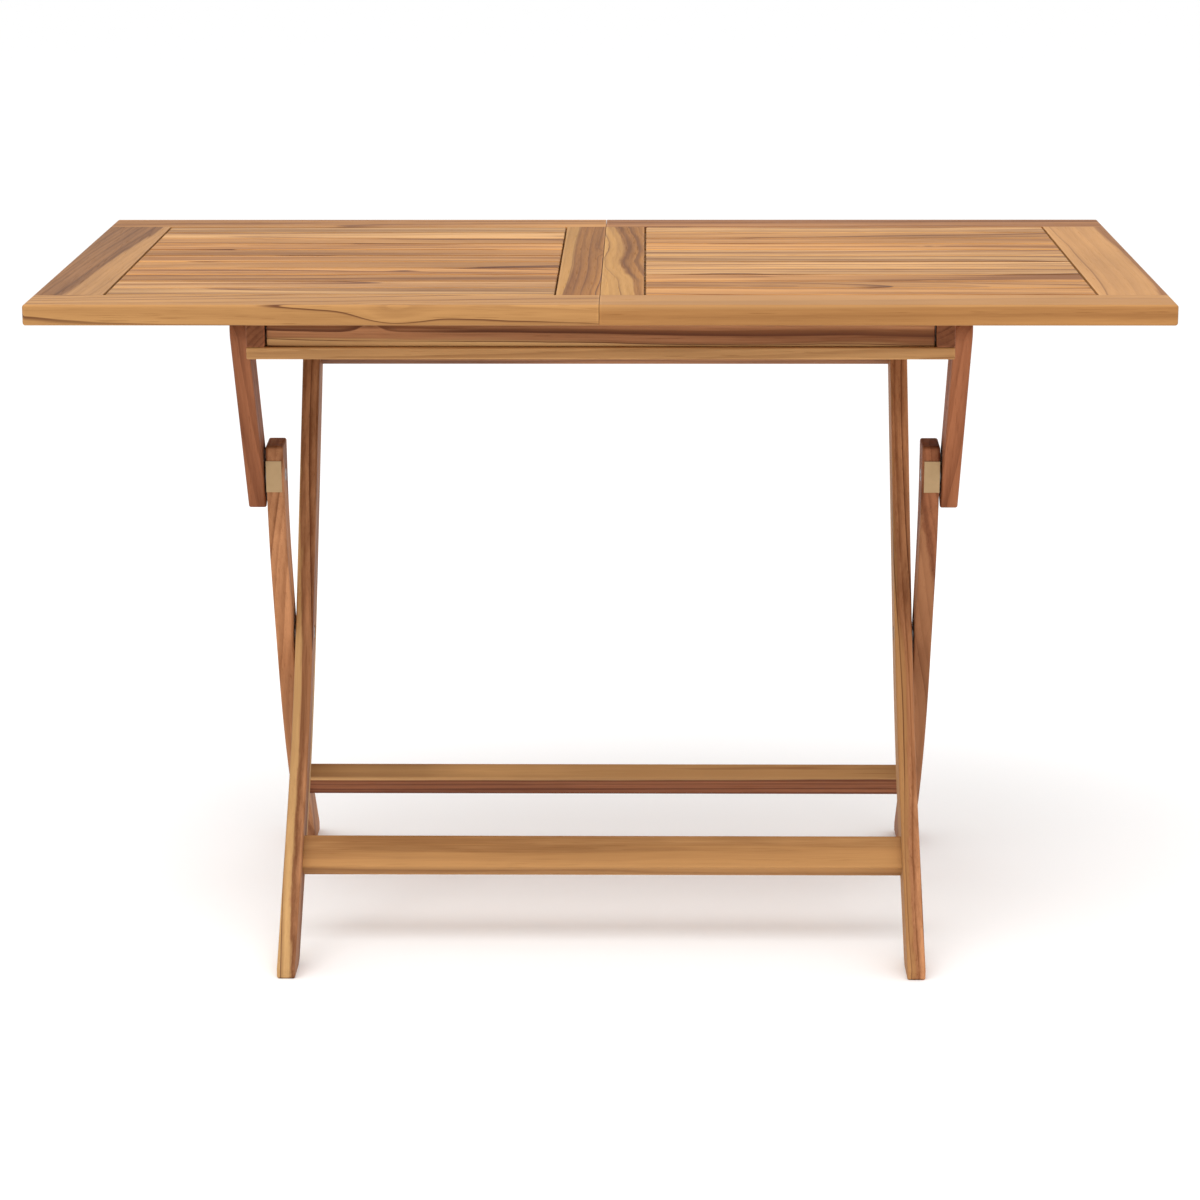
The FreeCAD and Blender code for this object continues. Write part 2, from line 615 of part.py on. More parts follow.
# Spacing washers fill the gap between the layers, less a little play on the turning side.
WASHER_LENGTH = "layer_gap - washer_play"
rear_washer = sleeve("RearWasher", "washer_radius", "pin_radius",
                     f"{FRONT_LEG_OUTSIDE} + washer_play", WASHER_LENGTH, REAR_PIVOT)
front_washer = sleeve("FrontWasher", "washer_radius", "pin_radius", REAR_LEG_OUTSIDE,
                      WASHER_LENGTH, FRONT_PIVOT)
centre_washer = sleeve("CentreWasher", "washer_radius", "pin_radius",
                       f"{FRONT_LEG_OUTSIDE} + washer_play", WASHER_LENGTH, CROSSING)
knuckle_washer = sleeve("KnuckleWasher", "washer_radius", "pin_radius", REAR_LEG_OUTSIDE,
                        WASHER_LENGTH, KNUCKLE)
keep_both(group("TopWashers", rear_washer, front_washer), "top_pivot_washers")
keep_both(group("LegWashers", centre_washer, knuckle_washer), "leg_pivot_washers")

# Brace: a blind bush at each end, open towards the table.
brace_tools = []
brace_bushes = []
for name, centre in (("BraceTop", FRONT_PIVOT), ("BraceFoot", KNUCKLE)):
    brace_tools.append(rod(f"{name}Bore", "bush_radius", BRACE_INSIDE, "bush_length", centre))
    brace_bushes.append(sleeve(f"{name}Bush", "bush_radius", RUNNING_RADIUS, BRACE_INSIDE,
                               "bush_length", centre))
keep_pair(cut("Brace", brace_blank, *brace_tools), "brace")
keep_pair(group("BraceBushes", *brace_bushes), "brace_bushes")

FRONT_BOLT_START = f"({REAR_LEG_INSIDE} + recess_depth - bolt_head_height)"
keep_both(hinge_bolt("FrontPivotBolt", FRONT_BOLT_START,
                     f"{BRACE_INSIDE} + bush_length - bush_end_play - {FRONT_BOLT_START}",
                     FRONT_PIVOT),
          "front_pivot_bolts")

# Knuckle: a brass angle let into the rear leg's front edge and outer face, and a bolt through it,
# countersunk into the leg's inner face, that stops short of the brace.
plate_turn = FreeCAD.Rotation(FreeCAD.Vector(1, 0, 0), size("rear_leg_top_tilt"))


def plate_leaf(name, extent, low, high):
    """One leaf of the angle, its extent along X taken inwards from the leg's outer face.

    low and high are its Y beside the knuckle, and it is tilted with the leg.
    """
    item = doc.addObject("Part::Box", name)
    bind(item, "Length", extent)
    item.Width = high - low
    bind(item, "Height", "plate_below + plate_above")
    corner = plate_turn.multVec(FreeCAD.Vector(0, low, -size("plate_below")))
    place = FreeCAD.Vector(rear_leg_outside - size(extent), knuckle.x, knuckle.y)
    item.Placement = FreeCAD.Placement(place + corner, plate_turn)
    return item


plate_front = -half_width - size("plate_proud")
edge_leaf = plate_leaf("EdgeLeaf", "plate_width", plate_front, plate_front + size("plate_thick"))
face_leaf = plate_leaf("FaceLeaf", "plate_thick", plate_front, size("plate_reach"))
plate_blank = fused("PlateBlank", edge_leaf, face_leaf)
countersink = across("Part::Cone", "Countersink", REAR_LEG_INSIDE, KNUCKLE)
bind(countersink, "Radius1", "countersink_radius")
bind(countersink, "Radius2", "pin_radius")
bind(countersink, "Height", "countersink_depth")
knuckle_shank = rod("KnuckleShank", "pin_radius", REAR_LEG_INSIDE,
                    f"board_thick + {WASHER_LENGTH}", KNUCKLE)
knuckle_blank = fused("KnuckleBlank", countersink, knuckle_shank)
knuckle_socket = hex_socket("KnuckleSocket", REAR_LEG_INSIDE, KNUCKLE)
keep_both(cut("KnuckleBolt", knuckle_blank, knuckle_socket), "knuckle_bolts")
keep_both(cut("KnucklePlate", plate_blank, knuckle_blank), "knuckle_plates")

centre_bolt_bore = rod("CentreBoltBore", "pin_radius", REAR_LEG_INSIDE, "bolt_bite", CROSSING)
rear_leg = cut("RearLeg", rear_leg_blank, rear_tenons, rear_screw_holes, centre_bolt_bore,
               plate_blank, knuckle_blank)
keep_pair(rear_leg, "rear_leg")

# ---------------------------------------------------------------- checks and files

doc.recompute()
for item in doc.Objects:
    if "Invalid" in item.State or "Error" in item.State:
        raise RuntimeError(f"{item.Label} did not recompute: {item.State}")
for item in pieces:
    if item.Shape.isNull() or not item.Shape.isValid():
        raise RuntimeError(f"{item.Label} has no valid shape")
labels = [item.Label for item in pieces]
if len(set(labels)) != len(labels):
    raise RuntimeError("two sub-parts share a name")
for item in pieces:
    item.Shape.exportStep(f"parts/{item.Label}.step")
    solids = len(item.Shape.Solids)
    print(f"{item.Label:22s} {solids:2d} solids  {item.Shape.Volume / 1000:9.2f} cm3")
print(len(pieces), "sub-parts")
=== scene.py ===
"""Looks of the folding picnic table: oiled teak boards, brass knuckle plates, steel bolts.

Every board keeps its CAD shape.  A board's teak is worked out in three dimensions: growth rings
stand round a pith line that is set for each board, so faces, edges and end grain agree, as they do
on sawn timber.  Metres, in the CAD model's frame: X along the table, -Y the front, +Z up.
"""
import random
from math import radians

import bpy
from mathutils import Matrix, Vector


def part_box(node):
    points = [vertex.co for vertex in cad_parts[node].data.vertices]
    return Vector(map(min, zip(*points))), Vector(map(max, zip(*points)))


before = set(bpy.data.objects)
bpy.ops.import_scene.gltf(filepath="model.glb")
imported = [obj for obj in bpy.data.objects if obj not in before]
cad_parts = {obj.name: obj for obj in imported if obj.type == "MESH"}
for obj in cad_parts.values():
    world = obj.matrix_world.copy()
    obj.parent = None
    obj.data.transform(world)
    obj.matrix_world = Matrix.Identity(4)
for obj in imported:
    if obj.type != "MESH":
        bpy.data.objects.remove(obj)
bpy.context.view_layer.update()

# ---------------------------------------------------------------- colours


def srgb(red, green, blue):
    """A colour given as 0-255 display values, as the linear colour that a shader takes."""
    linear = []
    for channel in (red, green, blue):
        share = channel / 255
        linear.append(share / 12.92 if share <= 0.04045 else ((share + 0.055) / 1.055) ** 2.4)
    return Vector(linear)


HONEY = srgb(180, 132, 80)
GOLD = srgb(170, 120, 69)
TAN = srgb(160, 109, 64)
BROWN = srgb(146, 95, 57)
RUSSET = srgb(142, 87, 56)
STRAW = srgb(174, 130, 83)
CLAY = srgb(165, 113, 76)
UMBER = srgb(157, 104, 46)
SAPWOOD = srgb(184, 136, 84)
AMBER = srgb(184, 136, 74)
CREAM = srgb(204, 160, 105)

# Teak's darker streaks are redder than its light ones, so each channel has its own span.
LIGHT_SPAN = Vector((1.24, 1.27, 1.28))
DARK_SPAN = Vector((0.50, 0.40, 0.32))
LINE = srgb(88, 48, 26)


def rgba(colour):
    """An opaque colour, as a shader's socket takes it."""
    return (*colour, 1.0)


# ---------------------------------------------------------------- node writing


class Nodes:
    """Writes a node tree; an input may be a number, a vector, a colour or another node's output."""

    def __init__(self, tree):
        self.tree = tree

    def add(self, kind, inputs=None, **settings):
        node = self.tree.nodes.new(kind)
        for name, value in settings.items():
            setattr(node, name, value)
        for key, value in (inputs or {}).items():
            if isinstance(value, bpy.types.NodeSocket):
                self.tree.links.new(value, node.inputs[key])
            else:
                node.inputs[key].default_value = value
        return node

    def math(self, operation, *values, clamp=False):
        node = self.add("ShaderNodeMath", dict(enumerate(values)),
                        operation=operation, use_clamp=clamp)
        return node.outputs[0]

    def centred(self, value):
        """Noise about zero instead of about a half."""
        return self.math("SUBTRACT", value, 0.5)

    def weighted(self, start, *pairs):
        """A start, plus each of several values times its weight."""
        for value, weight in pairs:
            start = self.math("MULTIPLY_ADD", value, weight, start)
        return start

    def vector(self, operation, *values):
        node = self.add("ShaderNodeVectorMath", dict(enumerate(values)), operation=operation)
        return node.outputs["Value" if operation == "LENGTH" else "Vector"]

    def scaled(self, vector, factor):
        """A vector times a number."""
        return self.add("ShaderNodeVectorMath", {0: vector, "Scale": factor},
                        operation="SCALE").outputs[0]

    def split(self, vector):
        return self.add("ShaderNodeSeparateXYZ", {0: vector}).outputs

    def join(self, x, y, z):
        return self.add("ShaderNodeCombineXYZ", {0: x, 1: y, 2: z}).outputs[0]

    def noise(self, place, counts, detail, rough=0.5, output="Fac"):
        """Noise with its own count per metre along each of the place's axes."""
        place = self.vector("MULTIPLY", place, counts)
        node = self.add("ShaderNodeTexNoise", {
            "Vector": place, "Scale": 1.0, "Detail": detail, "Roughness": rough})
        return node.outputs[output]

    def step(self, value, low, high, from_value=0.0, to_value=1.0):
        """A smooth rise from one value to another, as the input goes from low to high."""
        node = self.add("ShaderNodeMapRange", {
            "Value": value, "From Min": low, "From Max": high,
            "To Min": from_value, "To Max": to_value}, interpolation_type="SMOOTHSTEP")
        return node.outputs[0]

    def mix(self, factor, first, second, blend="MIX"):
        node = self.add("ShaderNodeMix", {0: factor, 6: first, 7: second},
                        data_type="RGBA", blend_type=blend)
        return node.outputs[2]


def dress(node, material):
    """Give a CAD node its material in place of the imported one."""
    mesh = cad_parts[node].data
    mesh.materials.clear()
    mesh.materials.append(material)


# ---------------------------------------------------------------- teak

# Counts per metre of each kind of noise: across the board, through it and along its grain.
WANDER_COUNTS = (2.5, 2.5, 2.0)
RIPPLE_COUNTS = (14.0, 14.0, 9.0)
FADING_COUNTS = (9.0, 9.0, 5.0)
STREAK_COUNTS = (120.0, 120.0, 2.4)
FIBRE_COUNTS = (1300.0, 1300.0, 24.0)
VESSEL_COUNTS = (760.0, 760.0, 26.0)
CLOUD_COUNTS = (5.0, 5.0, 3.0)
# The same for noise that follows the rings, whose first axis is the distance from the pith.
PACE_COUNTS = (38.0, 1.0, 0.3)
BAND_COUNTS = (62.0, 5.0, 1.3)

MIDDLE_GREY = (0.5, 0.5, 0.5)
ACROSS = (1.0, 1.0, 0.0)  # drops a place's part along the grain
RIPPLE_SHARE = (0.11, 0.11, 0.0)  # how strong the ripple is beside the wander
KNOT_SPACE = (1.0, 1.0, 0.36)  # shrinks distances along the grain, so that a knot is longer there
KNOT_SWELL = 1.1  # how far a knot's heart moves the rings, in knot sizes
PACE_YEARS = 2.4  # the most years that noise adds to the count
RAGGED_BORDER = 0.014  # metres over which streaks move the sapwood's border in and out
RAGGED_EDGE = 0.004  # metres over which they move a rubbed edge's border
PALE_FIGURE = 0.42  # share of the figure that shows in sapwood
DEEPEST = 1.15  # limit on how far figure, fibres and vessels together darken the wood
END_SHADE = 0.78  # brightness of end grain
RUBBED_GAIN = 0.09  # brightness that rubbing adds to an edge
TEAK_ROUGHNESS = 0.52
TEAK_GLOSS = 0.14

TEAK_INPUTS = (
    ("Centre", "NodeSocketVector"), ("Turn", "NodeSocketVector"), ("Half Size", "NodeSocketVector"),
    ("Pith", "NodeSocketVector"), ("Lean", "NodeSocketVector"), ("Shift", "NodeSocketVector"),
    ("Ring Width", "NodeSocketFloat"), ("Wander", "NodeSocketFloat"),
    ("Sapwood From", "NodeSocketFloat"), ("Figure", "NodeSocketFloat"),
    ("Lined Years", "NodeSocketFloat"), ("Knot", "NodeSocketVector"),
    ("Knot Size", "NodeSocketFloat"), ("Light", "NodeSocketColor"), ("Dark", "NodeSocketColor"),
    ("Sapwood", "NodeSocketColor"), ("Line", "NodeSocketColor"))
TEAK_OUTPUTS = (("Color", "NodeSocketColor"), ("Roughness", "NodeSocketFloat"),
                ("Normal", "NodeSocketVector"))


def teak_group():
    """Teak as a node group.  A board's own axes are its width, its thickness and its grain."""
    group = bpy.data.node_groups.new("TeakGrain", "ShaderNodeTree")
    for name, kind in TEAK_INPUTS:
        group.interface.new_socket(name=name, in_out="INPUT", socket_type=kind)
    for name, kind in TEAK_OUTPUTS:
        group.interface.new_socket(name=name, in_out="OUTPUT", socket_type=kind)
    nodes = Nodes(group)
    given = nodes.add("NodeGroupInput").outputs
    where = nodes.add("ShaderNodeTexCoord").outputs
    place = nodes.add("ShaderNodeMapping", {
        "Vector": where["Object"], "Location": given["Centre"], "Rotation": given["Turn"]},
        vector_type="TEXTURE").outputs[0]
    facing = nodes.add("ShaderNodeMapping", {
        "Vector": where["Normal"], "Rotation": given["Turn"]},
        vector_type="TEXTURE").outputs[0]
    seeded = nodes.vector("ADD", place, given["Shift"])
    along = nodes.split(place)[2]
    seeded_axes = nodes.split(seeded)

    # Distance from the pith, which leans across the board and wanders along it.
    wander = nodes.noise(seeded, WANDER_COUNTS, 1.5, output="Color")
    ripple = nodes.noise(seeded, RIPPLE_COUNTS, 2.0, output="Color")
    wander = nodes.vector("SUBTRACT", wander, MIDDLE_GREY)
    ripple = nodes.vector("SUBTRACT", ripple, MIDDLE_GREY)
    drift = nodes.vector("ADD", wander, nodes.vector("MULTIPLY", ripple, RIPPLE_SHARE))
    from_pith = nodes.vector("SUBTRACT", place, given["Pith"])
    from_pith = nodes.vector("SUBTRACT", from_pith, nodes.scaled(given["Lean"], along))
    from_pith = nodes.vector("ADD", from_pith, nodes.scaled(drift, given["Wander"]))
    radius = nodes.vector("LENGTH", nodes.vector("MULTIPLY", from_pith, ACROSS))

    # A knot: the rings swell round it, and its heart is dark.
    to_knot = nodes.vector("SUBTRACT", place, given["Knot"])
    to_knot = nodes.vector("LENGTH", nodes.vector("MULTIPLY", to_knot, KNOT_SPACE))
    to_knot = nodes.math("DIVIDE", to_knot, given["Knot Size"])
    swell = nodes.math("EXPONENT", nodes.math("MULTIPLY", nodes.math("POWER", to_knot, 2.0), -1.0))
    swell = nodes.math("MULTIPLY", swell, given["Knot Size"])
    radius = nodes.math("MULTIPLY_ADD", swell, KNOT_SWELL, radius)
    knot = nodes.step(to_knot, 0.55, 0.20)

    # Growth rings: uneven years, each ending in a thin dark line that is strong in some years only.
    pace = nodes.noise(nodes.join(radius, 0.0, seeded_axes[0]), PACE_COUNTS, 2.0)
    years = nodes.math("DIVIDE", radius, given["Ring Width"])
    years = nodes.math("MULTIPLY_ADD", pace, PACE_YEARS, years)
    year = nodes.math("FLOOR", years)
    season = nodes.math("FRACT", years)
    lot = nodes.add("ShaderNodeTexWhiteNoise", {"W": year}, noise_dimensions="1D").outputs[0]
    late = nodes.math("MULTIPLY", nodes.step(season, 0.35, 0.93), nodes.step(season, 1.0, 0.955))
    late = nodes.math("MULTIPLY", late, nodes.math("MULTIPLY_ADD", lot, 0.70, 0.30))
    lined = nodes.step(nodes.math("ADD", lot, given["Lined Years"]), 0.95, 1.25)
    line = nodes.math("MULTIPLY", nodes.step(season, 0.78, 0.95), nodes.step(season, 1.0, 0.965))
    fading = nodes.step(nodes.noise(seeded, FADING_COUNTS, 1.0), 0.30, 0.55, 0.25, 0.92)
    line = nodes.math("MULTIPLY", nodes.math("MULTIPLY", line, lined), fading)
    early = nodes.step(season, 0.45, 0.0)

    # Colour bands that follow the rings, streaks along the grain, fibres, and vessels.
    ring_place = nodes.join(radius, seeded_axes[1], seeded_axes[2])
    band = nodes.noise(ring_place, BAND_COUNTS, 4.0, 0.62)
    streak = nodes.noise(seeded, STREAK_COUNTS, 4.0, 0.66)
    fibre = nodes.noise(seeded, FIBRE_COUNTS, 2.0)
    vessel = nodes.step(nodes.noise(seeded, VESSEL_COUNTS, 1.0), 0.60, 0.70)
    vessel = nodes.math("MULTIPLY", vessel, nodes.math("MULTIPLY_ADD", early, 0.7, 0.3))
    streaking = nodes.centred(streak)

    border = nodes.math("SUBTRACT", radius, given["Sapwood From"])
    border = nodes.math("MULTIPLY_ADD", streaking, RAGGED_BORDER, border)
    figure = nodes.weighted(
        0.0, (nodes.step(border, -0.018, -0.001), 0.30), (late, 0.55), (nodes.centred(band), 2.1),
        (streaking, 1.2))
    depth = nodes.weighted(
        0.30, (figure, given["Figure"]), (nodes.centred(fibre), 0.28), (vessel, 0.30))
    depth = nodes.math("MINIMUM", nodes.math("MAXIMUM", depth, 0.0), DEEPEST)
    heart = nodes.mix(depth, given["Light"], given["Dark"])

    # Sapwood lies outside a radius.  Its border runs along the rings with small steps, and the
    # heartwood is darkest just inside it.
    outside = nodes.step(border, -0.0030, 0.0015)
    pale = nodes.mix(nodes.math("MULTIPLY", depth, PALE_FIGURE), given["Sapwood"], given["Dark"])
    colour = nodes.mix(outside, heart, pale)
    colour = nodes.mix(nodes.math("MAXIMUM", line, knot), colour, given["Line"])

    # Cloudy unevenness of the oil, dark end grain, and edges rubbed paler and smoother.
    cloud = nodes.step(nodes.noise(seeded, CLOUD_COUNTS, 3.0), 0.25, 0.75, 0.90, 1.07)
    end = nodes.step(nodes.math("ABSOLUTE", nodes.split(facing)[2]), 0.75, 0.97)
    shade = nodes.math("MULTIPLY", cloud, nodes.step(end, 0.0, 1.0, 1.0, END_SHADE))
    depths = nodes.split(nodes.vector("SUBTRACT", nodes.vector("ABSOLUTE", place),
                                      given["Half Size"]))
    lower = nodes.math("MINIMUM", depths[0], depths[1])
    higher = nodes.math("MAXIMUM", depths[0], depths[1])
    second = nodes.math("MAXIMUM", lower, nodes.math("MINIMUM", higher, depths[2]))
    rubbed = nodes.math("MULTIPLY_ADD", streaking, RAGGED_EDGE, second)
    rubbed = nodes.step(rubbed, -0.0032, -0.0004)
    shade = nodes.math("MULTIPLY", shade, nodes.math("MULTIPLY_ADD", rubbed, RUBBED_GAIN, 1.0))
    colour = nodes.mix(1.0, colour, nodes.join(shade, shade, shade), "MULTIPLY")

    rough = nodes.weighted(
        TEAK_ROUGHNESS, (fibre, 0.14), (vessel, 0.16), (end, 0.14), (rubbed, -0.06))
    height = nodes.weighted(0.0, (fibre, 0.45), (vessel, -0.9), (late, 0.25), (streak, 0.35))
    bump = nodes.add("ShaderNodeBump", {"Strength": 0.55, "Distance": 0.00022, "Height": height})
    nodes.add("NodeGroupOutput", {
        "Color": colour, "Roughness": rough, "Normal": bump.outputs[0]})
    return group


TEAK = teak_group()

SQUARE = 0.99  # a unit direction with a part above this lies along an axis
OUT_OF_REACH = (1.0, 1.0, 1.0)  # a half size that leaves a bent board without rubbed edges
NO_SAPWOOD = 10.0  # a radius that no board reaches
NO_KNOT = (5.0, 5.0, 5.0, 0.01)  # far outside every board
dice = random.Random(41)


def teak(node, grain, tone, pith, *, ring, lean=(0.0, 0.0), wander=0.020, sapwood=NO_SAPWOOD,
         figure=1.0, lines=0.4, knot=NO_KNOT, tint=None, sapwood_tone=SAPWOOD):
    """Dress one board.  grain is its direction; pith (width, thickness) is seen from its centre.

    ring is a year's width.  lean is how far the pith moves across the board per metre along it.
    sapwood is the radius from the pith where the heartwood ends.  lines is roughly the share of
    years that end in a dark line.  knot is (width, thickness, along, size), from the centre.
    """
    low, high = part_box(node)
    centre = (low + high) / 2
    axis = grain.normalized()
    width = Vector((0, 1, 0)) if abs(axis.x) > SQUARE else Vector((1, 0, 0))
    thickness = axis.cross(width)
    turn = Matrix((width, thickness, axis)).transposed().to_euler()
    half = Matrix((width, thickness, axis)) @ ((high - low) / 2)
    straight = max(abs(axis.x), abs(axis.y)) > SQUARE
    shift = Vector([dice.uniform(-40, 40) for _ in "xyz"])
    heart = tone * (tint or dice.uniform(0.95, 1.05))

    material = bpy.data.materials.new(f"teak_{node}")
    material.use_nodes = True
    material.node_tree.nodes.clear()
    nodes = Nodes(material.node_tree)
    grain_node = nodes.add("ShaderNodeGroup", node_tree=TEAK)
    values = {
        "Centre": centre, "Turn": turn,
        "Half Size": [abs(side) for side in half] if straight else OUT_OF_REACH,
        "Pith": (*pith, 0.0), "Lean": (*lean, 0.0), "Shift": shift,
        "Ring Width": ring, "Wander": wander, "Sapwood From": sapwood, "Figure": figure,
        "Lined Years": lines, "Knot": knot[:3], "Knot Size": knot[3],
        "Light": rgba(heart * LIGHT_SPAN), "Dark": rgba(heart * DARK_SPAN),
        "Sapwood": rgba(sapwood_tone), "Line": rgba(LINE)}
    for name, value in values.items():
        grain_node.inputs[name].default_value = value
    shader = nodes.add("ShaderNodeBsdfPrincipled", {
        "Base Color": grain_node.outputs["Color"], "Roughness": grain_node.outputs["Roughness"],
        "Normal": grain_node.outputs["Normal"], "Specular IOR Level": TEAK_GLOSS})
    nodes.add("ShaderNodeOutputMaterial", {"Surface": shader.outputs[0]})
    dress(node, material)


ALONG_X = Vector((1, 0, 0))
ALONG_Y = Vector((0, 1, 0))


def chord(node, leans_back):
    """The grain of a bent or sloping board runs along the diagonal of its box."""
    low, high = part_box(node)
    size = high - low
    return Vector((0, size.y if leans_back else -size.y, size.z))


def any_pith(nearest, furthest):
    """A pith somewhere under or over a board: near ones give arches, far ones straight lines."""
    side = dice.choice((-1, 1))
    reach = dice.uniform(nearest, furthest)
    slant = dice.uniform(-1.0, 1.0)
    return (slant * reach, side * reach)


# ---- the top

SLATS = 11  # in each half
KNOTTY_SLATS = (("left", 4), ("right", 8))

teak("left_front_rail", ALONG_X, HONEY, (0.060, -0.070), lean=(0.0, -0.055), ring=0.0110,
     wander=0.026, figure=0.45, lines=0.9, knot=(-0.024, 0.000, 0.085, 0.013), tint=0.88)
teak("right_front_rail", ALONG_X, GOLD, (-0.020, -0.090), lean=(0.02, 0.004), ring=0.0180,
     wander=0.010, figure=0.36, lines=0.1, sapwood=0.0985, tint=0.93, sapwood_tone=HONEY * 1.02)
teak("left_back_rail", ALONG_X, GOLD, (-0.03, -0.075), lean=(0.01, 0.02), ring=0.0090)
teak("right_back_rail", ALONG_X, TAN, (0.05, -0.060), lean=(0.02, 0.01), ring=0.0085)

for side, tones in (("left", (GOLD, GOLD, STRAW)), ("right", (STRAW, GOLD, STRAW))):
    for number in range(1, SLATS + 1):
        lean = (dice.uniform(-0.02, 0.02), dice.uniform(-0.03, 0.03))
        knot = NO_KNOT
        if (side, number) in KNOTTY_SLATS:
            knot = (0.004, 0.010, dice.uniform(0.06, 0.12), 0.006)
        teak(f"{side}_slat_{number:02d}", ALONG_X, dice.choice(tones), any_pith(0.03, 0.13),
             lean=lean, ring=dice.uniform(0.0050, 0.0100), tint=dice.uniform(0.84, 1.16),
             lines=dice.uniform(0.1, 0.7), figure=1.25, knot=knot)

teak("left_end_stile", ALONG_Y, TAN, (-0.120, -0.020), lean=(0.060, 0.0), ring=0.0065,
     wander=0.016, sapwood=0.133, figure=0.85, tint=0.5888, lines=0.10)
teak("right_end_stile", ALONG_Y, TAN, (0.110, -0.020), lean=(0.020, 0.0), ring=0.0110,
     wander=0.034, sapwood=0.086, figure=0.5, lines=0.30, tint=0.9, sapwood_tone=HONEY * 1.18)
teak("left_middle_stile", ALONG_Y, UMBER, (0.070, -0.015), lean=(0.015, 0.0), ring=0.0085,
     sapwood=0.083, figure=0.8, tint=0.92, knot=(0.022, -0.006, 0.050, 0.009),
     sapwood_tone=AMBER)
teak("right_middle_stile", ALONG_Y, UMBER, (0.100, 0.010), lean=(0.0, 0.0), ring=0.0095,
     wander=0.090, sapwood=0.106, lines=0.35, tint=0.86, sapwood_tone=AMBER * 1.08)

# ---- the underframe

teak("front_apron", ALONG_X, CLAY, (0.015, 0.100), lean=(0.0, -0.009), ring=0.0150,
     wander=0.024, figure=1.4, lines=0.85, knot=(-0.008, 0.006, -0.245, 0.008), tint=0.97,
     sapwood=0.1162, sapwood_tone=CREAM)
teak("back_apron", ALONG_X, BROWN, (0.030, 0.060), ring=0.0065)
teak("front_lower_rail", ALONG_X, STRAW, (-0.060, -0.040), lean=(0.01, 0.02), ring=0.0080,
     figure=0.6, lines=0.1, tint=0.98)
teak("back_lower_rail", ALONG_X, BROWN, (0.060, 0.040), lean=(0.02, 0.0), ring=0.0060)
teak("centre_batten", ALONG_Y, TAN, (0.010, -0.050), lean=(0.02, 0.03), ring=0.0070)
for side in ("left", "right"):
    teak(f"{side}_cross_rail", ALONG_Y, RUSSET, any_pith(0.04, 0.09), ring=0.0060, tint=0.85)

# ---- legs, braces and stretchers; a bent leg's pith lies to one side, so that its streaks follow
# ---- the bends, and on three legs a pale sapwood band comes in along the left edge towards the
# foot;
# ---- this band is partly the wood's own sapwood and partly painted light, standing in for the
# light on
# ---- the legs' left sides and on their lower ends, clear of the table's shade

teak("left_front_leg", chord("left_front_leg", True), CLAY, (0.110, 0.008),
     lean=(-0.020, 0.0), ring=0.0085, wander=0.014, sapwood=0.1185, figure=1.3, tint=0.95,
     knot=(0.009, -0.021, 0.07, 0.009), sapwood_tone=CREAM)
teak("right_front_leg", chord("right_front_leg", True), CLAY, (0.106, 0.006),
     lean=(-0.016, 0.0), ring=0.0080, wander=0.014, sapwood=0.1150, figure=1.1, tint=1.12)
teak("left_rear_leg", chord("left_rear_leg", False), CLAY, (-0.110, 0.012),
     lean=(0.006, 0.0), ring=0.0080, wander=0.014, figure=0.8, lines=0.1, tint=1.03)
teak("right_rear_leg", chord("right_rear_leg", False), RUSSET, (0.090, 0.010),
     lean=(-0.030, 0.0), ring=0.0082, wander=0.012, figure=0.9, lines=0.1, sapwood=0.0996,
     tint=0.88, sapwood_tone=CLAY)
teak("left_brace", chord("left_brace", False), RUSSET, (0.060, 0.030), ring=0.0095, figure=0.8,
     lines=0.2, tint=0.98)
teak("right_brace", chord("right_brace", False), RUSSET, (-0.050, 0.050), ring=0.0095,
     figure=0.8, lines=0.2, tint=1.18)
teak("upper_stretcher", ALONG_X, BROWN, (0.050, 0.030), ring=0.0080)
teak("front_stretcher", ALONG_X, STRAW, (0.083, -0.046), lean=(0.006, -0.007), ring=0.0090,
     wander=0.022, figure=0.8, lines=0.4, tint=1.10, sapwood=0.1044,
     sapwood_tone=SAPWOOD * 1.12)
# Its thin top edge is pale sapwood and its broad face darker heartwood: partly the wood's own
# colour, partly a painted highlight on the lit top edge and painted shade on the face below it.
teak("rear_stretcher", ALONG_X, RUSSET, (0.050, -0.049), lean=(0.0, 0.006), ring=0.0110,
     wander=0.010, lines=0.7, sapwood=0.0875, tint=1.08, figure=1.1,
     sapwood_tone=CREAM * 1.12)

# ---------------------------------------------------------------- metal

PATCH_COUNTS = (90.0, 90.0, 90.0)  # per metre, as for teak
SPECK_COUNTS = (900.0, 900.0, 900.0)


def metal(name, bright, dull, brushed, rough):
    """Worked metal: fine brushing one way, and duller patches where it has been handled."""
    material = bpy.data.materials.new(name)
    material.use_nodes = True
    material.node_tree.nodes.clear()
    nodes = Nodes(material.node_tree)
    place = nodes.add("ShaderNodeTexCoord").outputs["Object"]
    lines = nodes.noise(place, brushed, 2.0, 0.6)
    patches = nodes.noise(place, PATCH_COUNTS, 3.0, 0.6)
    specks = nodes.step(nodes.noise(place, SPECK_COUNTS, 1.0), 0.66, 0.74)
    dullness = nodes.math("ADD", nodes.step(patches, 0.30, 0.75, 0.10, 0.34),
                          nodes.math("MULTIPLY", specks, 0.05), clamp=True)
    colour = nodes.mix(dullness, rgba(bright), rgba(dull))
    roughness = nodes.weighted(rough, (dullness, 0.14), (lines, 0.10))
    bump = nodes.add("ShaderNodeBump", {
        "Strength": 0.20, "Distance": 0.00004, "Height": lines})
    shader = nodes.add("ShaderNodeBsdfPrincipled", {
        "Base Color": colour, "Roughness": roughness, "Normal": bump.outputs[0], "Metallic": 1.0})
    nodes.add("ShaderNodeOutputMaterial", {"Surface": shader.outputs[0]})
    return material


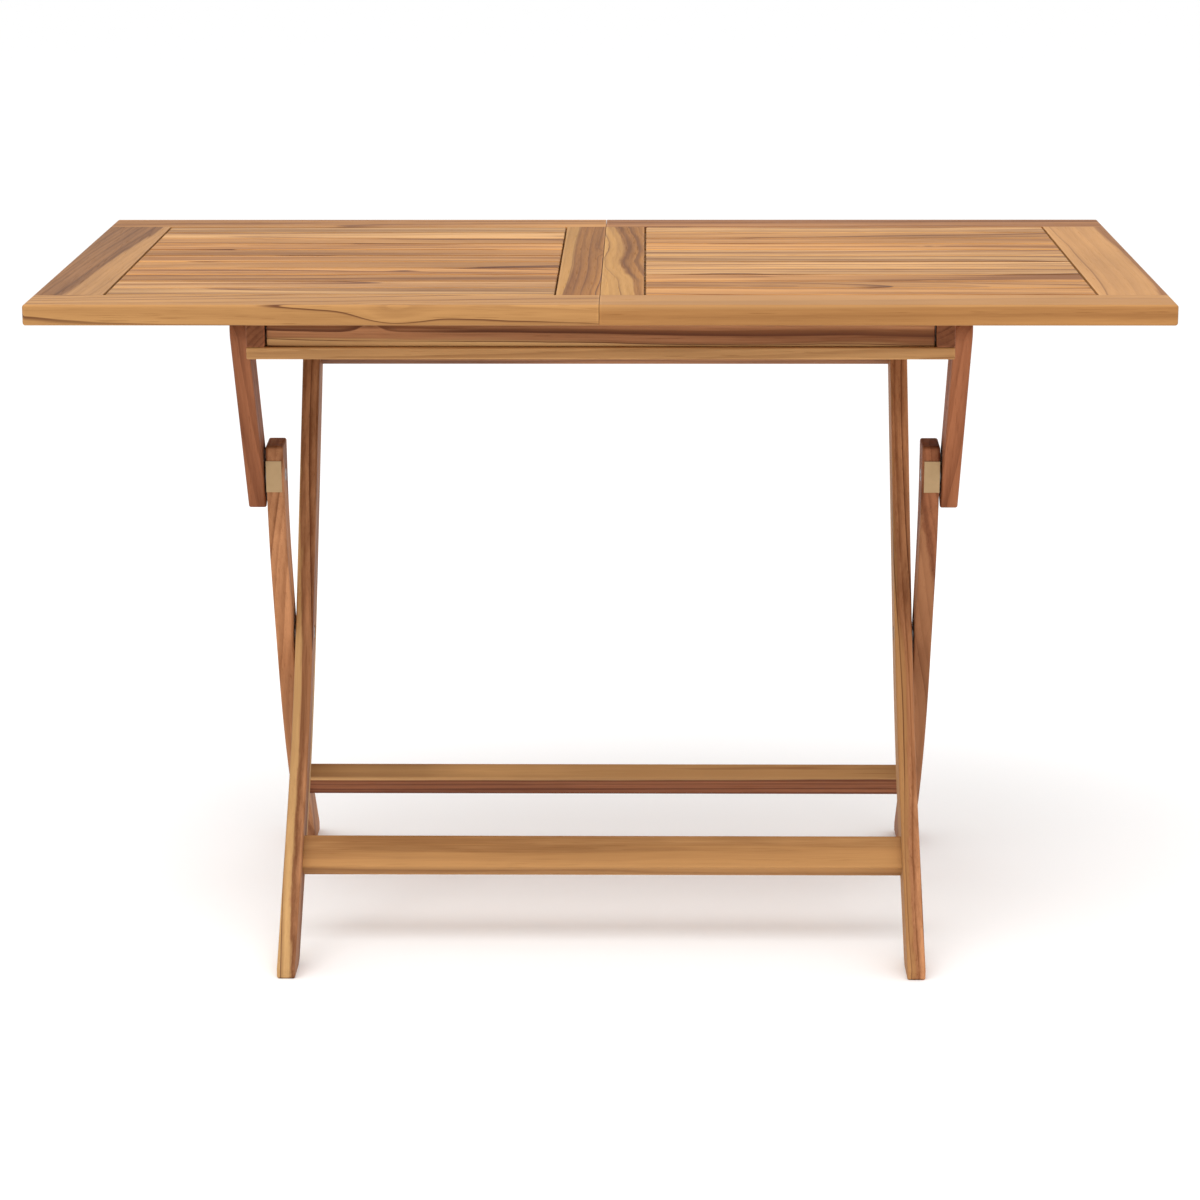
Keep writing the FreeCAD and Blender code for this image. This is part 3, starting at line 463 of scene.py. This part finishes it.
BRASS = metal("satin_brass", srgb(168, 140, 105), srgb(150, 124, 90),
              brushed=(40.0, 2600.0, 2600.0), rough=0.42)
TURNED_BRASS = metal("turned_brass", srgb(206, 172, 112), srgb(150, 118, 72),
                     brushed=(2600.0, 60.0, 60.0), rough=0.28)
ZINC = metal("zinc_plated_steel", srgb(150, 150, 150), srgb(104, 103, 102),
             brushed=(2400.0, 80.0, 80.0), rough=0.36)

dress("knuckle_plates", BRASS)
for node in ("left_brace_bushes", "right_brace_bushes", "rear_pivot_bushes",
             "centre_pivot_bushes"):
    dress(node, TURNED_BRASS)
for node in ("underframe_screws", "front_leg_screws", "rear_leg_screws", "rear_pivot_bolts",
             "centre_pivot_bolts", "front_pivot_bolts", "knuckle_bolts", "top_pivot_washers",
             "leg_pivot_washers"):
    dress(node, ZINC)

# ---------------------------------------------------------------- studio

FLOOR_REACH = 60.0  # metres each way, so that its edge is out of sight
FLOOR_WHITE = (0.98, 0.98, 0.98, 1.0)


def pale_floor():
    """A plain pale floor."""
    mesh = bpy.data.meshes.new("studio_floor")
    corners = [(x * FLOOR_REACH, y * FLOOR_REACH, 0.0)
               for x, y in ((-1, -1), (1, -1), (1, 1), (-1, 1))]
    mesh.from_pydata(corners, [], [(0, 1, 2, 3)])
    floor = bpy.data.objects.new("studio_floor", mesh)
    bpy.context.scene.collection.objects.link(floor)
    material = bpy.data.materials.new("studio_floor")
    material.use_nodes = True
    shader = material.node_tree.nodes["Principled BSDF"]
    shader.inputs["Base Color"].default_value = FLOOR_WHITE
    shader.inputs["Roughness"].default_value = 0.9
    shader.inputs["Specular IOR Level"].default_value = 0.1
    mesh.materials.append(material)


def soft_light(name, place, target, width, depth, power):
    """A large softbox that faces a target."""
    light = bpy.data.lights.new(name, "AREA")
    light.shape = "RECTANGLE"
    light.size = width
    light.size_y = depth
    light.energy = power
    item = bpy.data.objects.new(name, light)
    item.location = place
    item.rotation_euler = (Vector(target) - Vector(place)).to_track_quat("-Z", "Y").to_euler()
    bpy.context.scene.collection.objects.link(item)


pale_floor()
soft_light("overhead_softbox", (-0.6, -1.2, 3.2), target=(0.0, 0.0, 0.5),
           width=3.4, depth=2.6, power=56.0)
soft_light("front_softbox", (1.4, -4.2, 1.9), target=(0.0, 0.0, 0.4),
           width=2.4, depth=1.8, power=26.0)

world = bpy.data.worlds.new("studio")
bpy.context.scene.world = world
world.use_nodes = True
background = world.node_tree.nodes["Background"]
background.inputs["Color"].default_value = (1.0, 1.0, 1.0, 1.0)
background.inputs["Strength"].default_value = 1.02
bpy.context.scene.view_settings.view_transform = "Standard"

# ---------------------------------------------------------------- camera

CAMERA_PLACE = (0.051, -4.065, 1.310)
LOOKS_DOWN = 13.24  # degrees below the horizontal
ROLL = 0.11  # degrees
TURNED_LEFT = 0.754  # degrees from straight along the table's depth
LENS = 108.4
SENSOR_WIDTH = 36.0

camera = bpy.data.cameras.new("camera")
camera.lens = LENS
camera.sensor_width = SENSOR_WIDTH
camera_item = bpy.data.objects.new("camera", camera)
camera_item.location = CAMERA_PLACE
camera_item.rotation_euler = (radians(90 - LOOKS_DOWN), radians(ROLL), radians(TURNED_LEFT))
bpy.context.scene.collection.objects.link(camera_item)
bpy.context.scene.camera = camera_item
